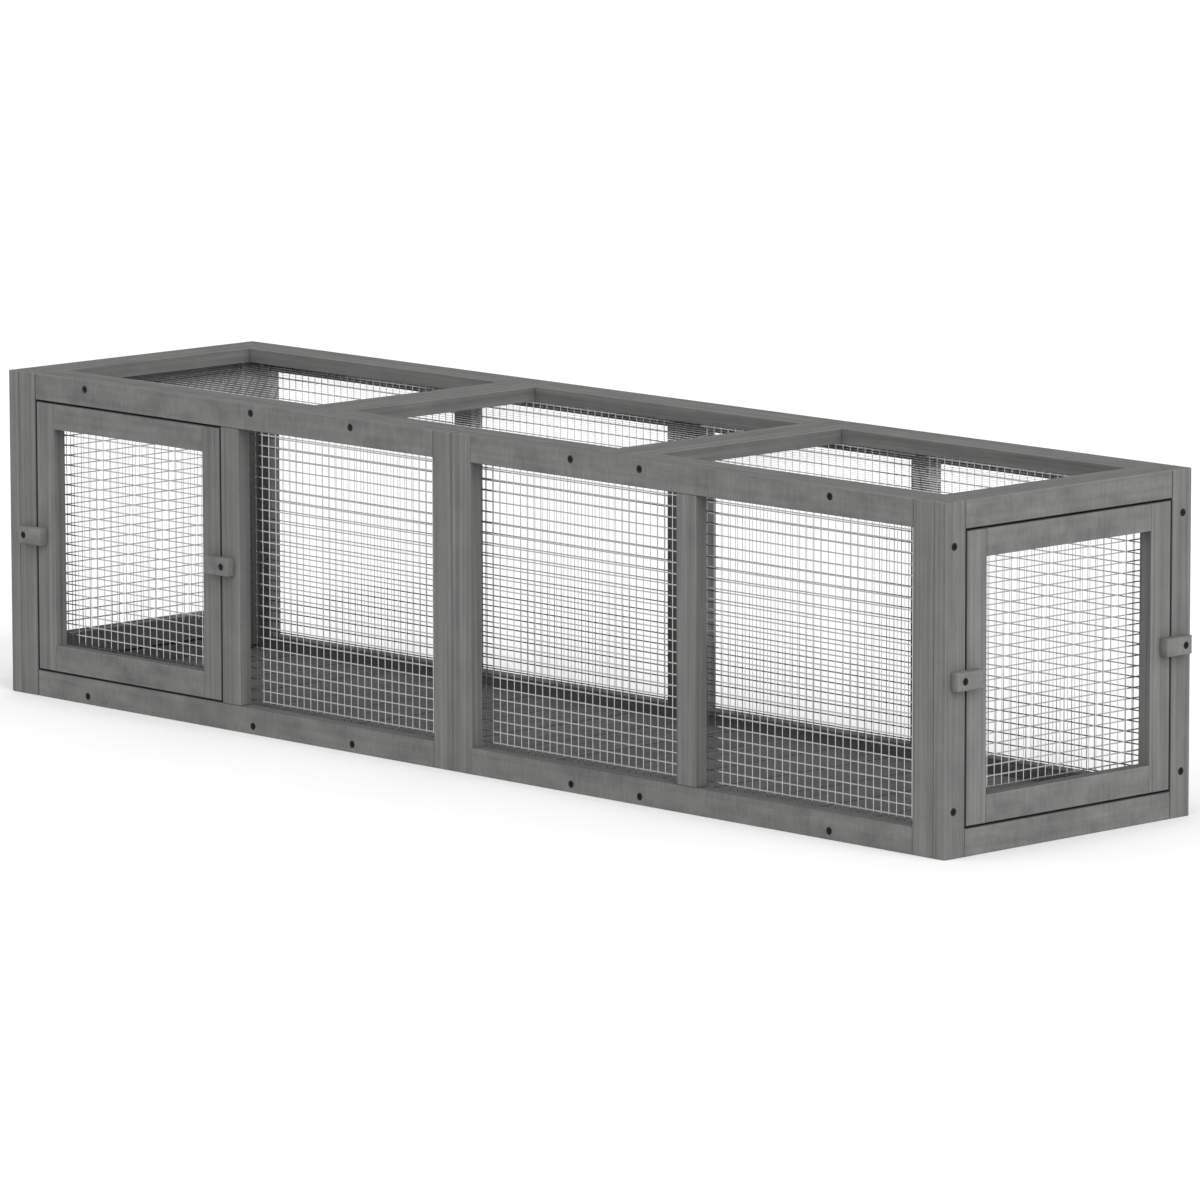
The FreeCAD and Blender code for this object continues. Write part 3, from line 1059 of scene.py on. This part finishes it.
@dataclass(frozen=True)
class WeldedMesh:
    """A sheet of welded mesh with its staples, about the origin, the wood at Z = 0 under it."""

    width: float
    height: float
    uprights: WireRow
    crosswires: WireRow
    thick: float = 0.00014
    cut_end: float = 0.00004
    sunk: float = 0.25
    bead: float = 0.00095
    bead_height: float = 0.00022
    bead_sides: int = 4
    bead_rings: int = 2
    bead_turn: float = 45.0
    staple_gaps: int = 6
    staple_inset: float = 0.0044
    crown: float = 0.007
    crown_width: float = 0.0011
    crown_thickness: float = 0.0006
    crown_round: float = 0.6
    leg: float = 0.0028

    @property
    def columns(self) -> list[float]:
        """Where the uprights lie across the sheet."""
        return self.uprights.places(self.width / 2)

    @property
    def rows(self) -> list[float]:
        """Where the crosswires lie up the sheet."""
        return self.crosswires.places(self.height / 2)

    @property
    def upper(self) -> float:
        """Height of the second layer's wire axes, pressed a little into the first."""
        return self.thick / 2 + self.thick * (1 - self.sunk)

    def model(self) -> Piece:
        """Make the sheet.

        Returns:
            Its two layers, welds and staples as one piece.
        """
        uprights = self.layer("uprights", self.uprights, Axis.X, self.thick / 2)
        crosswires = self.layer("crosswires", self.crosswires, Axis.Y, self.upper)
        return Bench.join([uprights, crosswires, self.welds(), *self.staples()], "sheet")

    def layer(self, name: str, wires: WireRow, axis: Axis, height: float) -> Piece:
        """The wires of one layer, flat-rolled, with their edges and cut ends eased, and the
        layer's painted light as their tone.

        Args:
            name: what the piece is called.
            wires: the layer.
            axis: the way from wire to wire.
            height: how high the wires' axes lie.

        Returns:
            The layer as one piece.
        """
        half = Vector((self.width / 2, self.height / 2, self.thick / 2))
        places = wires.places(half[axis.value])
        half[axis.value] = wires.width / 2
        place, step = Vector((0.0, 0.0, height)), Vector()
        place[axis.value], step[axis.value] = places[0], wires.pitch
        layer = Bench.block(name, Box(place - half, place + half))
        Bench.pick_edges(layer, lambda middle: True)
        Bench.ease(self.cut_end)
        Bench.repeat(layer, len(places), step)
        return Bench.tint(layer, wires.tone)

    def welds(self) -> Piece:
        """The zinc that fills each crossing.

        Returns:
            All the beads as one piece.
        """
        Bench.clear()
        bpy.ops.mesh.primitive_uv_sphere_add(
            segments=self.bead_sides,
            ring_count=self.bead_rings,
            radius=1.0,
            location=(self.columns[0], self.rows[0], (self.thick / 2 + self.upper) / 2),
            rotation=(0.0, 0.0, math.radians(self.bead_turn)),
            scale=(self.bead, self.bead, self.bead_height),
        )
        bead = Bench.take("weld")
        Bench.repeat(bead, len(self.columns), Axis.X.way * self.uprights.pitch)
        Bench.repeat(bead, len(self.rows), Axis.Y.way * self.crosswires.pitch)
        return Bench.tint(bead)

    def staple(self) -> Piece:
        """One staple.

        Returns:
            The staple, its crown along X on Z = 0 and its legs down.
        """
        reach, wide, top = self.crown / 2, self.crown_width / 2, self.crown_thickness
        inner, outer = reach - top, reach - TOUCH
        space = Box(Vector((-reach, -wide, 0.0)), Vector((reach, wide, top)))
        staple = Bench.block("staple", space)
        bpy.ops.object.mode_set(mode="EDIT")
        for side in (-1.0, 1.0):
            bpy.ops.mesh.select_all(action="SELECT")
            bpy.ops.mesh.bisect(plane_co=(side * inner, 0.0, 0.0), plane_no=(1.0, 0.0, 0.0))
        Bench.pick_faces(
            staple, lambda middle, normal: normal.z < -SQUARE and abs(middle.x) > inner
        )
        Bench.extrude_down(self.leg)
        bpy.ops.object.mode_set(mode="OBJECT")
        Bench.pick_edges(staple, lambda middle: middle.z > top - TOUCH and abs(middle.x) > outer)
        Bench.ease(top * self.crown_round)
        return staple

    def staples(self) -> list[Piece]:
        """Staples along the sheet's edges, each over a wire's end.

        Returns:
            The staples.
        """
        model = Bench.tint(self.staple())
        made = []
        for side in (-1.0, 1.0):
            for row in self.stapled(self.rows):
                edge = side * (self.width / 2 - self.staple_inset)
                place = Vector((edge, row, self.upper + self.thick / 2))
                made.append(Bench.copy(model, facing(place, Axis.Z.way, Axis.Y.way)))
            for column in self.stapled(self.columns):
                edge = side * (self.height / 2 - self.staple_inset)
                place = Vector((column, edge, self.thick))
                made.append(Bench.copy(model, facing(place, Axis.Z.way, Axis.X.way)))
        bpy.data.objects.remove(model)
        return made

    def stapled(self, places: list[float]) -> list[float]:
        """The wires along an edge that have a staple, centred on the edge."""
        spare = (len(places) - 1) % self.staple_gaps
        return places[spare // 2 :: self.staple_gaps]


@dataclass(frozen=True)
class SheetPlan:
    """A mesh sheet's space, and its layers with their offsets along the tunnel's own axes."""

    space: Box
    uprights: WireRow = UPRIGHTS
    crosswires: WireRow = CROSSWIRES


@dataclass(frozen=True)
class BoardPlan:
    """The boards of one node before they are sawn."""

    node: str
    spaces: Sequence[Box]
    grain: Axis
    finish: StainedWood
    sizes: dict[str, object]


class Workshop:
    """What every sub-assembly shares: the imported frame, the finishes and the screws' places.

    The hull is the frame's outside, without the buttons that stand proud of it.
    """

    hull = Box(Vector((-0.8, -0.2, 0.0)), Vector((0.8, 0.2, 0.4)))
    seat_reach = 0.0001
    beside_reach = 0.005

    def __init__(self, frame: dict) -> None:
        """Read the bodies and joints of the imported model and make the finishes.
        """
        groups = frame["record"]["behaviour"]["bodies"]
        self.body_of = {node: body for body, nodes in groups.items() for node in nodes}
        self.joints = {joint["name"]: joint for joint in frame["joints"]}
        finishes = (FRAME_WOOD, FLOOR_WOOD_PAINTED_SHADE, WIRE, SCREW_BLACK)
        self.materials = {finish.name: finish.material() for finish in finishes}
        self.screw_places: list[ScrewPlace] = []
        self.plans: list[BoardPlan] = []

    def hand_over(self, piece: Piece, node: str, finish: Finish) -> None:
        """Dress a piece that stands for a node, and set it on the node's body.

        Args:
            piece: the finished piece.
            node: the node that it stands for.
            finish: what it is finished with.
        """
        piece.data.materials.clear()
        piece.data.materials.append(self.materials[finish.name])
        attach(piece, self.body_of[node])
        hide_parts(node)
        LOG.info("%s stands for %s, %d faces", piece.name, node, len(piece.data.polygons))

    def boards(
        self,
        node: str,
        spaces: Sequence[Box],
        grain: Axis,
        finish: StainedWood = FRAME_WOOD,
        **sizes: object,
    ) -> None:
        """Plan the boards of a node, each in its own space."""
        self.plans.append(BoardPlan(node, spaces, grain, finish, sizes))

    def single(self, node: str, grain: Axis) -> None:
        """Plan a node that is one board."""
        self.boards(node, [Box.of_node(node)], grain)

    def pair(self, node: str, axis: Axis, width: float, grain: Axis) -> None:
        """Plan a node that is two boards, one at each end of its space along an axis."""
        self.boards(node, Box.of_node(node).ends(axis, width), grain)

    def saw(self) -> None:
        """Make the planned boards, one piece per node, each knowing the boards beside it."""
        spaces = [space for plan in self.plans for space in plan.spaces]
        for plan in self.plans:
            made = []
            for number, space in enumerate(plan.spaces):
                seats = [at for at in self.screw_places if space.holds(at.point, self.seat_reach)]
                near = [other for other in spaces if space.near(other, self.beside_reach)]
                board = Board(
                    f"{plan.node}_board_{number}",
                    space,
                    plan.grain,
                    hull=self.hull,
                    seats=seats,
                    beside=[other for other in near if other is not space],
                    **plan.sizes,
                )
                made.append(board.build())
            self.hand_over(Bench.join(made, f"{plan.node}_boards"), plan.node, plan.finish)

    def mesh(self, node: str, sheets: Sequence[SheetPlan], thin: Axis) -> None:
        """Make the mesh of a node, its sheets as one piece.

        Args:
            node: the node that it stands for.
            sheets: its sheets.
            thin: the axis that the sheets lie square to.
        """
        up = Axis.Y.way if thin is Axis.Z else Axis.Z.way
        made = []
        for plan in sheets:
            space = plan.space
            outside = space.centre[thin.value] - self.hull.centre[thin.value]
            inward = Vector()
            inward[thin.value] = -math.copysign(1.0, outside)
            across = up.cross(inward)
            width, height = (abs(space.size.dot(way)) for way in (across, up))
            uprights = replace(plan.uprights, offset=plan.uprights.offset * sum(across))
            model = WeldedMesh(width, height, uprights, plan.crosswires).model()
            place = space.centre - inward * space.size[thin.value] / 2
            made.append(Bench.copy(model, facing(place, inward, across)))
            bpy.data.objects.remove(model)
        self.hand_over(Bench.join(made, f"{node}_wires"), node, WIRE)


@dataclass
class WallPanel:
    """Half of a long wall: two end stiles, a mid stile, two rails and the mesh in its bays.

    Each of its mesh sheets has an offset of its uprights.
    """

    side: Side
    hand: Hand
    offsets: Sequence[float]
    stile_width: float = BOARD_WIDTH
    sheet_width: float = 0.3568

    def build(self, shop: Workshop) -> None:
        """Plan the panel's boards and make its mesh.

        Args:
            shop: where it is made.
        """
        name = f"{self.side.value}_{self.hand.value}_wall"
        shop.pair(f"{name}_stiles", Axis.X, self.stile_width, Axis.Z)
        for part, grain in (("mid_stile", Axis.Z), ("top_rail", Axis.X), ("bottom_rail", Axis.X)):
            shop.single(f"{name}_{part}", grain)
        whole = Box.of_node(f"{name}_mesh")
        spaces = whole.ends(Axis.X, self.sheet_width) if len(self.offsets) > 1 else [whole]
        sheets = [
            SheetPlan(space, replace(UPRIGHTS, offset=offset))
            for space, offset in zip(spaces, self.offsets)
        ]
        shop.mesh(f"{name}_mesh", sheets, Axis.Y)


@dataclass
class EndFrame:
    """The frame that caps an end of the tunnel: two stiles and two rails."""

    hand: Hand
    stile_width: float = BOARD_WIDTH

    def build(self, shop: Workshop) -> None:
        """Plan the frame's boards.

        Args:
            shop: where it is made.
        """
        name = f"{self.hand.value}_end"
        shop.pair(f"{name}_stiles", Axis.Y, self.stile_width, Axis.Z)
        for part in ("top_rail", "bottom_rail"):
            shop.single(f"{name}_{part}", Axis.Y)


@dataclass
class LiftOutDoor:
    """A door: two stiles, two rails, mesh behind them, and the stops that it rests against."""

    name: str
    width_axis: Axis
    thin_axis: Axis
    offset: float
    cell_width: float
    cell_height: float
    crosswire_offset: float = 0.0028
    stile_width: float = BOARD_WIDTH
    rail_height: float = BOARD_WIDTH
    stop_width: float = 0.024

    def build(self, shop: Workshop) -> None:
        """Plan the door's boards and its stops, and make its mesh.

        Args:
            shop: where it is made.
        """
        for part, axis, width, grain in (
            ("stiles", self.width_axis, self.stile_width, Axis.Z),
            ("rails", Axis.Z, self.rail_height, self.width_axis),
            ("stops", self.width_axis, self.stop_width, Axis.Z),
        ):
            shop.pair(f"{self.name}_{part}", axis, width, grain)
        uprights = replace(UPRIGHTS, pitch=self.cell_width, offset=self.offset)
        crosswires = replace(CROSSWIRES, pitch=self.cell_height, offset=self.crosswire_offset)
        mesh = f"{self.name}_mesh"
        shop.mesh(mesh, [SheetPlan(Box.of_node(mesh), uprights, crosswires)], self.thin_axis)


@dataclass
class RoofPanel:
    """One of the three roof panels: side rails between end rails, with mesh under them."""

    part: str
    rail_width: float = BOARD_WIDTH
    # Painted light: the roof's crosswires drawn much lighter, its uprights much darker
    uprights: WireRow = WireRow(pitch=0.0132, offset=0.0, width=0.0008, tone=0.35)
    crosswires: WireRow = WireRow(pitch=0.0132, offset=0.0066, width=0.0012, tone=1.8)

    def build(self, shop: Workshop) -> None:
        """Plan the panel's boards and make its mesh.

        Args:
            shop: where it is made.
        """
        name = f"roof_{self.part}"
        shop.pair(f"{name}_side_rails", Axis.Y, self.rail_width, Axis.X)
        shop.pair(f"{name}_end_rails", Axis.X, self.rail_width, Axis.Y)
        sheet = SheetPlan(Box.of_node(f"{name}_mesh"), self.uprights, self.crosswires)
        shop.mesh(f"{name}_mesh", [sheet], Axis.Z)


@dataclass
class FloorPanel:
    """One of the three floor panels, six planks across the tunnel with chamfered edges."""

    part: str
    planks: int = 6
    chamfer: float = 0.0015
    chamfer_steps: int = 1
    tones: FaceTonesAndPaintedLight = FaceTonesAndPaintedLight(edge=0.55, joint=0.55, inside=1.0)
    tone_spread: float = 0.06

    def build(self, shop: Workshop) -> None:
        """Plan the panel's planks.

        Args:
            shop: where it is made.
        """
        node = f"floor_{self.part}"
        shop.boards(
            node,
            Box.of_node(node).slices(Axis.X, self.planks),
            Axis.Y,
            FLOOR_WOOD_PAINTED_SHADE,
            ease=self.chamfer,
            segments=self.chamfer_steps,
            tones=self.tones,
            tone_spread=self.tone_spread,
        )


@dataclass
class TurnButton:
    """A wooden turn button: rounded at its outer end, eased at the door's end, on one screw."""

    name: str
    length: float = 0.043
    width: float = 0.021
    thickness: float = 0.012
    gap: float = 0.0003
    pivot_end: float = 0.0115
    outer_round: float = 0.004
    outer_steps: int = 6
    door_round: float = 0.002
    door_steps: int = 3
    ease: float = 0.0007
    ease_angle: float = 50.0
    crease: float = 25.0
    screw_length: float = 0.0273
    # painted highlight on the button's outer face; no highlight on its edges
    tones: FaceTonesAndPaintedLight = FaceTonesAndPaintedLight(top=1.05, edge=1.0)

    def pivot(self, shop: Workshop) -> tuple[Vector, Vector]:
        """The pivot's place on the frame's face and its outward direction."""
        joint = shop.joints[f"{self.name}_turn"]
        return Vector(joint["pos_m"]), Vector(joint["axis"])

    def screw_place(self, shop: Workshop) -> ScrewPlace:
        """Where the pivot screw's head lies, flush in the button's face."""
        place, outward = self.pivot(shop)
        return ScrewPlace(place + outward * (self.gap + self.thickness), outward)

    def build(self, shop: Workshop) -> None:
        """Model the button about its pivot and put it in place.

        Args:
            shop: where it is made.
        """
        top = self.gap + self.thickness
        space = Box(
            Vector((-self.pivot_end, -self.width / 2, self.gap)),
            Vector((self.length - self.pivot_end, self.width / 2, top)),
        )
        board = Board(f"{self.name}_block", space, Axis.X, tones=self.tones)
        button = Bench.block(board.name, space)
        for end, radius, steps in (
            (space.low.x, self.outer_round, self.outer_steps),
            (space.high.x, self.door_round, self.door_steps),
        ):
            Bench.pick_edges(
                button, lambda middle: abs(middle.x - end) < TOUCH and abs(middle.z - top) < TOUCH
            )
            Bench.ease(radius, steps)
        Bench.apply(
            button,
            "BEVEL",
            width=self.ease,
            segments=EASE_STEPS,
            limit_method="ANGLE",
            angle_limit=math.radians(self.ease_angle),
        )
        seat = ScrewPlace(Vector((0.0, 0.0, top)), Axis.Z.way)
        Bench.cut(button, [CountersunkScrew(self.screw_length).seat(seat)])
        Bench.smooth(button, self.crease)
        board.mark(button)
        place, outward = self.pivot(shop)
        towards_door = Box.of_node(self.name).centre - place
        towards_door -= outward * towards_door.dot(outward)
        made = Bench.copy(button, facing(place, outward, towards_door.normalized()))
        bpy.data.objects.remove(button)
        made.name = made.data.name = board.name
        shop.hand_over(made, self.name, FRAME_WOOD)


@dataclass
class ScrewSet:
    """The screws of one node, as one piece."""

    node: str
    places: Sequence[ScrewPlace]
    length: float = SCREW_LENGTH

    def build(self, shop: Workshop) -> None:
        """Model the screw and repeat it."""
        made = CountersunkScrew(self.length).set_of(self.places, f"{self.node}_steel")
        shop.hand_over(made, self.node, SCREW_BLACK)


@dataclass
class ScrewPlan:
    """Where the frame's screws go: along the walls' rails and at the end frames' corners."""

    along: tuple[float, ...] = (-0.657, -0.352667, -0.175667, 0.200667, 0.314667, 0.620)
    roof_height: float = 0.389
    floor_height: float = 0.010
    wall_face: float = 0.2
    end_face: float = 0.8
    end_across: float = 0.186
    end_heights: tuple[float, float] = (0.053, 0.350)

    def wall_places(self) -> list[ScrewPlace]:
        """Screws through the walls into the roof and floor panels.

        Returns:
            Their places, the front wall's first.
        """
        return [
            ScrewPlace(Vector((x, side * self.wall_face, z)), Vector((0.0, side, 0.0)))
            for side in (-1.0, 1.0)
            for z in (self.roof_height, self.floor_height)
            for x in self.along
        ]

    def end_places(self) -> list[ScrewPlace]:
        """Screws through the end frames into the walls' stiles.

        Returns:
            Their places, the left end's first.
        """
        return [
            ScrewPlace(Vector((end * self.end_face, y, z)), Vector((end, 0.0, 0.0)))
            for end in (-1.0, 1.0)
            for y in (-self.end_across, self.end_across)
            for z in self.end_heights
        ]


@dataclass(frozen=True)
class Lamp:
    """A wide soft lamp far off, its spread in degrees, and the way towards it."""

    name: str
    strength: float
    spread: float
    towards: tuple[float, float, float]
    distance: float = 5.0

    def hang(self) -> None:
        """Add the lamp to the scene."""
        lamp = bpy.data.lights.new(self.name, "SUN")
        lamp.energy = self.strength
        lamp.angle = math.radians(self.spread)
        hung = bpy.data.objects.new(self.name, lamp)
        bpy.context.scene.collection.objects.link(hung)
        towards = Vector(self.towards)
        hung.rotation_mode = "QUATERNION"
        hung.rotation_quaternion = towards.to_track_quat("Z", "Y")
        hung.location = towards.normalized() * self.distance


@dataclass
class Studio:
    """A pale floor under soft light, and the camera at the photograph's angle."""

    azimuth: float = 46.22388
    elevation: float = 8.91252
    roll: float = 0.11992
    offset: tuple[float, float, float] = (-0.0284704, -0.0188746, 10.427253)
    target: tuple[float, float, float] = (0.0, 0.0, 0.2)
    lens: float = 264.2795
    sensor: float = 36.0
    far: float = 300.0
    floor_size: float = 160.0
    floor_seen: float = 0.95
    floor_pale: float = 0.72
    sky: float = 0.44
    lamps: tuple[Lamp, ...] = (
        Lamp("overhead_light", strength=1.45, spread=90.0, towards=(0.20, -0.72, 1.0)),
        Lamp("side_light", strength=1.84, spread=70.0, towards=(1.0, -0.15, 0.45)),
        Lamp("back_light", strength=0.95, spread=110.0, towards=(-0.65, 0.80, 0.22)),
    )

    def build(self) -> None:
        """Set up the floor, the light and the camera."""
        self.lay_floor()
        self.light_sky()
        for lamp in self.lamps:
            lamp.hang()
        self.set_camera()
        bpy.context.scene.view_settings.view_transform = "Standard"

    @staticmethod
    def seen_directly(graph: Graph) -> Socket:
        """Tell what is seen from what only lights.

        Args:
            graph: where it is needed.

        Returns:
            1 for rays from the camera, mirror rays and rays through glass, else 0.
        """
        rays = graph.node("ShaderNodeLightPath").output.node.outputs
        names = ("Is Camera Ray", "Is Glossy Ray", "Is Transmission Ray")
        camera, glossy, through = (Socket(graph, rays[name]) for name in names)
        return (camera + glossy + through).at_most(1.0)

    def lay_floor(self) -> None:
        """A plain floor, white to the eye, pale to the light that it throws back."""
        Bench.clear()
        bpy.ops.mesh.primitive_plane_add(size=self.floor_size)
        floor = Bench.take("studio_floor")
        made, graph = Graph.of_material("studio_floor")
        seen, pale = (
            graph.node("ShaderNodeBsdfDiffuse", {}, {"Color": (level, level, level, 1.0)})
            for level in (self.floor_seen, self.floor_pale)
        )
        shaders = {0: self.seen_directly(graph), 1: pale, 2: seen}
        graph.surface(graph.node("ShaderNodeMixShader", {}, shaders))
        floor.data.materials.append(made)

    def light_sky(self) -> None:
        """An even sky, white where it is seen."""
        world = bpy.data.worlds.new("studio")
        world.use_nodes = True
        bpy.context.scene.world = world
        graph = Graph(world.node_tree)
        strength = self.seen_directly(graph) * (1.0 - self.sky) + self.sky
        inputs = {"Color": (1.0, 1.0, 1.0, 1.0), "Strength": strength}
        light = graph.node("ShaderNodeBackground", {}, inputs)
        graph.node("ShaderNodeOutputWorld", {}, {"Surface": light})

    def set_camera(self) -> None:
        """The photograph's camera."""
        angles = (self.azimuth, self.elevation, self.roll)
        azimuth, elevation, roll = (math.radians(angle) for angle in angles)
        level = math.cos(elevation)
        back = Vector((math.sin(azimuth) * level, -math.cos(azimuth) * level, math.sin(elevation)))
        forward = -back
        right = Vector((math.cos(azimuth), math.sin(azimuth), 0.0))
        down = forward.cross(right)
        turned_right = right * math.cos(roll) + down * math.sin(roll)
        turned_down = down * math.cos(roll) - right * math.sin(roll)
        columns = Matrix((turned_right, -turned_down, -forward)).transposed()
        x, y, z = self.offset
        place = Vector(self.target) - turned_right * x - turned_down * y - forward * z
        lens = bpy.data.cameras.new("photograph")
        lens.lens, lens.sensor_width, lens.clip_end = self.lens, self.sensor, self.far
        camera = bpy.data.objects.new("photograph", lens)
        bpy.context.scene.collection.objects.link(camera)
        camera.matrix_world = Matrix.Translation(place) @ columns.to_4x4()
        bpy.context.scene.camera = camera


# The wall panels and the doors, with their uprights' offsets as the photograph shows them
WALLS = (
    WallPanel(Side.FRONT, Hand.LEFT, offsets=(-0.0049,)),
    WallPanel(Side.FRONT, Hand.RIGHT, offsets=(0.0031, -0.0023)),
    WallPanel(Side.BACK, Hand.LEFT, offsets=(0.0003, -0.0015)),
    WallPanel(Side.BACK, Hand.RIGHT, offsets=(0.0008, -0.0049)),
)
DOORS = (
    LiftOutDoor(
        "front_door", Axis.X, Axis.Y, offset=0.0067, cell_width=0.0121, cell_height=0.0123
    ),
    LiftOutDoor(
        "left_door", Axis.Y, Axis.X, offset=-0.0045, cell_width=0.0119, cell_height=0.0122
    ),
    LiftOutDoor(
        "right_door", Axis.Y, Axis.X, offset=0.0043, cell_width=0.01185, cell_height=0.01207
    ),
)


def main() -> None:
    """Build the studio and the tunnel's sub-assemblies in order."""
    logging.basicConfig(level=logging.INFO, format="%(name)s: %(message)s")
    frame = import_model()
    shop = Workshop(frame)
    Studio().build()
    plan = ScrewPlan()
    shop.screw_places = plan.wall_places() + plan.end_places()
    for wall in WALLS:
        wall.build(shop)
    for hand in Hand:
        EndFrame(hand).build(shop)
    for door in DOORS:
        door.build(shop)
    for part in ("left", "middle", "right"):
        RoofPanel(part).build(shop)
        FloorPanel(part).build(shop)
    names = ["front_door_button_left", "front_door_button_right"]
    names += [f"{hand.value}_door_button_{side.value}" for hand in Hand for side in Side]
    buttons = [TurnButton(name) for name in names]
    for button in buttons:
        button.build(shop)
    shop.saw()
    ScrewSet("wall_screws", plan.wall_places()).build(shop)
    ScrewSet("end_screws", plan.end_places()).build(shop)
    pivots = [button.screw_place(shop) for button in buttons]
    ScrewSet("pivot_screws", pivots, buttons[0].screw_length).build(shop)


if __name__ == "__main__":
    main()
